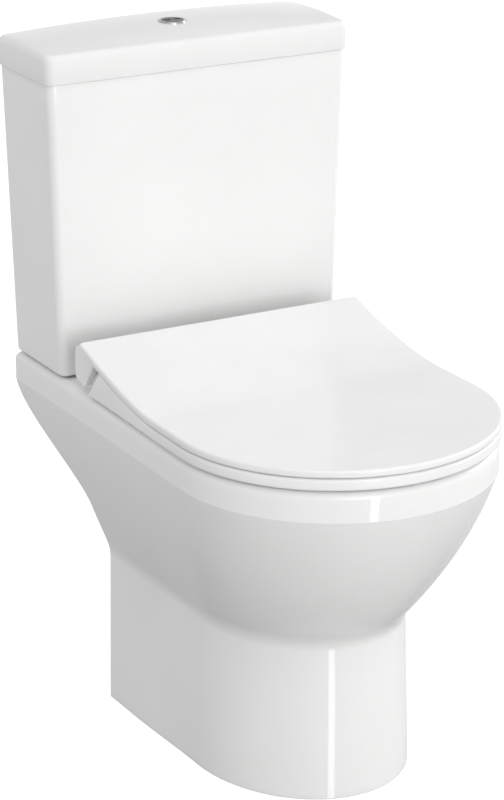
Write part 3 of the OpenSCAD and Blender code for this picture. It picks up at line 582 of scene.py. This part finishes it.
def material(name, dark, light, rough, metallic=0.0, bump=0.0, scale=9.0, grain=420.0,
             specular=0.5):
    """Principled material whose colour and roughness drift with soft noise, and whose surface has
    a fine relief. dark and light are the ends of the colour drift, and rough those of the
    roughness."""
    m = bpy.data.materials.new(name)
    m.use_nodes = True
    n, links = m.node_tree.nodes, m.node_tree.links
    shader = n["Principled BSDF"]
    shader.inputs["Metallic"].default_value = metallic
    shader.inputs["Specular IOR Level"].default_value = specular
    place = n.new("ShaderNodeTexCoord")
    drift = n.new("ShaderNodeTexNoise")
    drift.inputs["Scale"].default_value = scale
    drift.inputs["Detail"].default_value = 4.0
    links.new(place.outputs["Object"], drift.inputs["Vector"])
    ramp = n.new("ShaderNodeValToRGB")
    for end, position, colour in zip(ramp.color_ramp.elements, (DRIFT_FROM, DRIFT_TO),
                                     (dark, light)):
        end.position = position
        end.color = (*colour, 1)
    links.new(drift.outputs["Fac"], ramp.inputs["Fac"])
    links.new(ramp.outputs["Color"], shader.inputs["Base Color"])
    gloss = n.new("ShaderNodeMapRange")
    for socket, value in (("From Min", DRIFT_FROM), ("From Max", DRIFT_TO), ("To Min", rough[0]),
                          ("To Max", rough[1])):
        gloss.inputs[socket].default_value = value
    links.new(drift.outputs["Fac"], gloss.inputs["Value"])
    links.new(gloss.outputs["Result"], shader.inputs["Roughness"])
    fine = n.new("ShaderNodeTexNoise")
    fine.inputs["Scale"].default_value = grain
    fine.inputs["Detail"].default_value = 3.0
    links.new(place.outputs["Object"], fine.inputs["Vector"])
    relief = n.new("ShaderNodeBump")
    relief.inputs["Strength"].default_value = bump
    relief.inputs["Distance"].default_value = RELIEF_DEPTH
    links.new(fine.outputs["Fac"], relief.inputs["Height"])
    links.new(relief.outputs["Normal"], shader.inputs["Normal"])
    return m


GLAZE = material("glazed_ceramic", (0.80, 0.80, 0.795), (0.835, 0.835, 0.83), (0.045, 0.075),
                 bump=0.02, scale=6.0, grain=60.0)
SEAT = material("seat_thermoset", (0.80, 0.80, 0.798), (0.83, 0.83, 0.827), (0.16, 0.22),
                bump=0.025, scale=11.0, grain=240.0, specular=0.35)
CHROME = material("polished_chrome", (0.60, 0.61, 0.62), (0.68, 0.69, 0.70), (0.05, 0.12),
                  metallic=1.0, bump=0.02, scale=40.0, grain=700.0)
STEEL = material("brushed_steel", (0.45, 0.45, 0.46), (0.56, 0.56, 0.57), (0.24, 0.38),
                 metallic=1.0, bump=0.06, scale=60.0, grain=900.0)
BRASS = material("brass", (0.62, 0.44, 0.18), (0.74, 0.55, 0.26), (0.22, 0.36),
                 metallic=1.0, bump=0.05, scale=50.0, grain=800.0)
RUBBER = material("black_rubber", (0.018, 0.018, 0.019), (0.035, 0.035, 0.036), (0.55, 0.75),
                  bump=0.12, scale=30.0, grain=600.0, specular=0.35)
SOFT_RUBBER = material("soft_white_rubber", (0.66, 0.66, 0.65), (0.74, 0.74, 0.73), (0.45, 0.6),
                       bump=0.08, scale=30.0, grain=500.0, specular=0.4)
SEAL = material("red_silicone", (0.36, 0.035, 0.025), (0.45, 0.05, 0.035), (0.4, 0.55),
                bump=0.05, scale=30.0, grain=500.0)
WHITE = material("white_moulding", (0.70, 0.70, 0.68), (0.77, 0.77, 0.75), (0.30, 0.42),
                 bump=0.06, scale=25.0, grain=650.0)
GREY = material("grey_moulding", (0.22, 0.24, 0.27), (0.28, 0.30, 0.33), (0.35, 0.48),
                bump=0.06, scale=25.0, grain=650.0)
BLUE = material("blue_moulding", (0.03, 0.10, 0.32), (0.05, 0.14, 0.40), (0.32, 0.45),
                bump=0.06, scale=25.0, grain=650.0)
BUTTON = material("smoked_chrome", (0.085, 0.086, 0.088), (0.12, 0.121, 0.123), (0.05, 0.10),
                  metallic=1.0, bump=0.02, scale=40.0, grain=700.0)
BY_SLOT = {"ceramic": GLAZE, "seat_plastic": SEAT, "chrome": CHROME, "steel": STEEL,
           "brass": BRASS, "black_rubber": RUBBER, "soft_rubber": SOFT_RUBBER,
           "red_rubber": SEAL, "white_plastic": WHITE, "grey_plastic": GREY,
           "blue_plastic": BLUE}


# ---------- pieces ----------
def dress(obj, m):
    """Puts the material on every slot of a node that comes from the frame."""
    for s in obj.material_slots:
        s.material = m


for row in frame["record"]["subparts"]:
    dress(nodes[row["node"]], BY_SLOT[row["material_slot"]])
for name in ("full_flush_button", "half_flush_button"):
    dress(nodes[name], BUTTON)

REPLACED = (("pan", build_pan, "toilet", "ceramic"),
            ("cistern", build_cistern, "toilet", "ceramic"),
            ("cistern_lid", build_lid, "lid_group", "ceramic"),
            ("seat_ring", build_ring, "seat_ring_group", "seat_plastic"),
            ("seat_cover", build_cover, "seat_cover_group", "seat_plastic"))
for node, build, body, slot in REPLACED:
    piece = build()
    piece.data.materials.clear()
    piece.data.materials.append(BY_SLOT[slot])
    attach(piece, body)
    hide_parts(node)


# ---------- floor, lights and camera ----------
FLOOR_SIZE, FLOOR_TONE, FLOOR_MOTTLE = 9.0, (0.39, 0.43), 3.0
FLOOR_GLOW, GLOW_TAKES = 0.88, 0.2      # what the camera sees added, and the share taken off


def floor():
    """Pale grey floor that glows for the camera alone, which sees it as white with a shadow."""
    e = FLOOR_SIZE
    mesh = bpy.data.meshes.new("floor")
    mesh.from_pydata([(-e, -e, 0), (e, -e, 0), (e, e, 0), (-e, e, 0)], [], [(0, 1, 2, 3)])
    obj = bpy.data.objects.new("floor", mesh)
    bpy.context.scene.collection.objects.link(obj)
    m = bpy.data.materials.new("pale_floor")
    m.use_nodes = True
    n, links = m.node_tree.nodes, m.node_tree.links
    n.clear()
    path = n.new("ShaderNodeLightPath")
    place = n.new("ShaderNodeTexCoord")
    mottle = n.new("ShaderNodeTexNoise")
    mottle.inputs["Scale"].default_value = FLOOR_MOTTLE
    tone = n.new("ShaderNodeMapRange")
    tone.inputs["To Min"].default_value, tone.inputs["To Max"].default_value = FLOOR_TONE
    glow_level, less, keep, shade = (n.new("ShaderNodeMath") for _ in range(4))
    glow_level.operation = less.operation = shade.operation = "MULTIPLY"
    glow_level.inputs[1].default_value = FLOOR_GLOW
    less.inputs[1].default_value = GLOW_TAKES
    keep.operation = "SUBTRACT"
    keep.inputs[0].default_value = 1.0
    matt = n.new("ShaderNodeBsdfDiffuse")
    glow = n.new("ShaderNodeEmission")
    add = n.new("ShaderNodeAddShader")
    out = n.new("ShaderNodeOutputMaterial")
    for source, target in (
            (place.outputs["Object"], mottle.inputs["Vector"]),
            (mottle.outputs["Fac"], tone.inputs["Value"]),
            (path.outputs["Is Camera Ray"], glow_level.inputs[0]),
            (path.outputs["Is Camera Ray"], less.inputs[0]),
            (less.outputs["Value"], keep.inputs[1]),
            (keep.outputs["Value"], shade.inputs[0]),
            (tone.outputs["Result"], shade.inputs[1]),
            (shade.outputs["Value"], matt.inputs["Color"]),
            (glow_level.outputs["Value"], glow.inputs["Strength"]),
            (matt.outputs["BSDF"], add.inputs[0]),
            (glow.outputs["Emission"], add.inputs[1]),
            (add.outputs["Shader"], out.inputs["Surface"])):
        links.new(source, target)
    mesh.materials.append(m)
    obj.visible_glossy = False


# Stops of the studio's brightness in reflections, from straight down at 0 to straight up at 1.
STUDIO = ((0.17, 0.35), (0.36, 1.0), (0.51, 1.0), (0.66, 0.5))


def world(level):
    """Even light of the given level, seen as white by the camera. Reflections show that white too
    near the horizon, with the studio's dimmer ceiling above it and the shaded floor below it."""
    w = bpy.data.worlds.new("studio")
    w.use_nodes = True
    n, links = w.node_tree.nodes, w.node_tree.links
    n.clear()
    path = n.new("ShaderNodeLightPath")
    place = n.new("ShaderNodeTexCoord")
    split = n.new("ShaderNodeSeparateXYZ")
    height = n.new("ShaderNodeMapRange")
    height.inputs["From Min"].default_value = -1.0
    fade = n.new("ShaderNodeValToRGB")
    stops = fade.color_ramp.elements
    for stop, (position, grey) in zip((stops[0], stops[1]), (STUDIO[0], STUDIO[-1])):
        stop.position = position
        stop.color = (grey, grey, grey, 1)
    for position, grey in STUDIO[1:-1]:
        stops.new(position).color = (grey, grey, grey, 1)
    mirror = n.new("ShaderNodeMath")
    mirror.operation = "MAXIMUM"
    air, shown, white = (n.new("ShaderNodeBackground") for _ in range(3))
    air.inputs["Strength"].default_value = level
    for node in (air, white):
        node.inputs["Color"].default_value = (1, 1, 1, 1)
    first, second = n.new("ShaderNodeMixShader"), n.new("ShaderNodeMixShader")
    out = n.new("ShaderNodeOutputWorld")
    for source, target in (
            (place.outputs["Generated"], split.inputs["Vector"]),
            (split.outputs["Z"], height.inputs["Value"]),
            (height.outputs["Result"], fade.inputs["Fac"]),
            (fade.outputs["Color"], shown.inputs["Color"]),
            (path.outputs["Is Glossy Ray"], mirror.inputs[0]),
            (path.outputs["Is Transmission Ray"], mirror.inputs[1]),
            (mirror.outputs["Value"], first.inputs["Fac"]),
            (air.outputs["Background"], first.inputs[1]),
            (shown.outputs["Background"], first.inputs[2]),
            (path.outputs["Is Camera Ray"], second.inputs["Fac"]),
            (first.outputs["Shader"], second.inputs[1]),
            (white.outputs["Background"], second.inputs[2]),
            (second.outputs["Shader"], out.inputs["Surface"])):
        links.new(source, target)
    bpy.context.scene.world = w


def area(name, place, target, width, height, power, mirrored=True):
    """Rectangular lamp at place, turned to target. Reflections show it only if mirrored."""
    light = bpy.data.lights.new(name, "AREA")
    light.shape = "RECTANGLE"
    light.size, light.size_y = width, height
    light.energy = power
    obj = bpy.data.objects.new(name, light)
    obj.location = place
    obj.rotation_euler = (Vector(place) - Vector(target)).to_track_quat("Z", "Y").to_euler()
    obj.visible_glossy = mirrored
    bpy.context.scene.collection.objects.link(obj)


PICTURE_W, PICTURE_H, FOCAL_PX, SENSOR = 504, 800, 3000.0, 36.0


def camera(azimuth, elevation, target, distance, centre):
    """Camera at a distance from the target. centre is where its axis meets the picture."""
    a, e = math.radians(azimuth), math.radians(elevation)
    back = Vector((math.sin(a) * math.cos(e), -math.cos(a) * math.cos(e), math.sin(e)))
    data = bpy.data.cameras.new("camera")
    data.sensor_width = SENSOR
    data.lens = FOCAL_PX / PICTURE_H * SENSOR
    data.shift_x = -(centre[0] - PICTURE_W / 2) / PICTURE_H
    data.shift_y = (centre[1] - PICTURE_H / 2) / PICTURE_H
    obj = bpy.data.objects.new("camera", data)
    obj.location = Vector(target) + back * distance
    obj.rotation_euler = back.to_track_quat("Z", "Y").to_euler()
    bpy.context.scene.collection.objects.link(obj)
    bpy.context.scene.camera = obj


floor()
world(0.84)
area("front", (-0.6, -3.6, 1.4), (0, 0, 0.25), 2.4, 1.8, 31)
area("right", (3.0, 0.3, 1.5), (0, 0, 0.4), 1.6, 1.6, 30)
area("low_right", (2.6, -2.6, 0.45), (0, 0, 0.2), 1.6, 0.6, 12, mirrored=False)
area("low_front", (-0.5, -2.2, 0.36), (0, 0, 0.12), 1.0, 0.4, 3, mirrored=False)
area("top", (-0.2, -0.4, 3.4), (0, 0, 0.4), 2.2, 2.2, 6)
# The strips give the upright highlights on the rim band and the pedestal. The lower one hangs below
# the floor, which reflections don't show, so its mirror image on the pedestal stays whole.
area("strip", (-0.09, -3.4, 0.6), (-0.05, -0.25, 0.6), 0.32, 3.0, 13)
area("low_strip", (-0.58, -3.4, -1.67), (-0.05, -0.25, -1.67), 0.46, 1.44, 9)
camera(-29.065, 20.06, (-0.0452, 0, 0.3719), 3.2946, (240, 430))
bpy.context.scene.view_settings.view_transform = "Standard"
